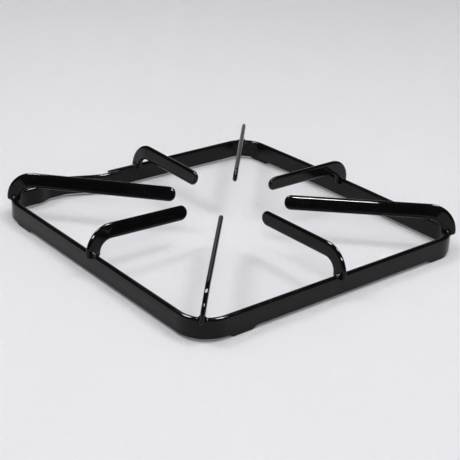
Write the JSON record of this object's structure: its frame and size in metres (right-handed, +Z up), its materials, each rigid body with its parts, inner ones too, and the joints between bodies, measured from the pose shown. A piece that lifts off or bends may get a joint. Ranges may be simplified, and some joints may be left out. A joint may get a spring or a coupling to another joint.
{
  "type": "hob pan support",
  "caption": "Square pan support for a gas hob: a steel strip frame standing on pressed feet, with bent fingers notched over it that reach in over the burner to carry a pan.",
  "frame": {"origin": "the middle of the ring of fingers, over the middle of the burner, on the plane that the feet stand on", "axes": "+Z up, X and Y along the sides of the square frame, the front corner of the picture at +X -Y and the lapped side at -X"},
  "size_m": [0.2507, 0.247, 0.0348],
  "materials": {
    "black_enamel": "gloss black vitreous enamel on steel, a little satin on the outer faces of the strip"
  },
  "bodies": {
    "root": {"frame_band": "black_enamel", "corner_finger_front": "black_enamel", "corner_finger_right": "black_enamel", "corner_finger_back": "black_enamel", "corner_finger_left": "black_enamel", "side_finger_front_left": "black_enamel", "side_finger_front_right": "black_enamel", "side_finger_back_right": "black_enamel", "side_finger_back_left": "black_enamel", "weld_beads": "black_enamel"}
  },
  "joints": []
}
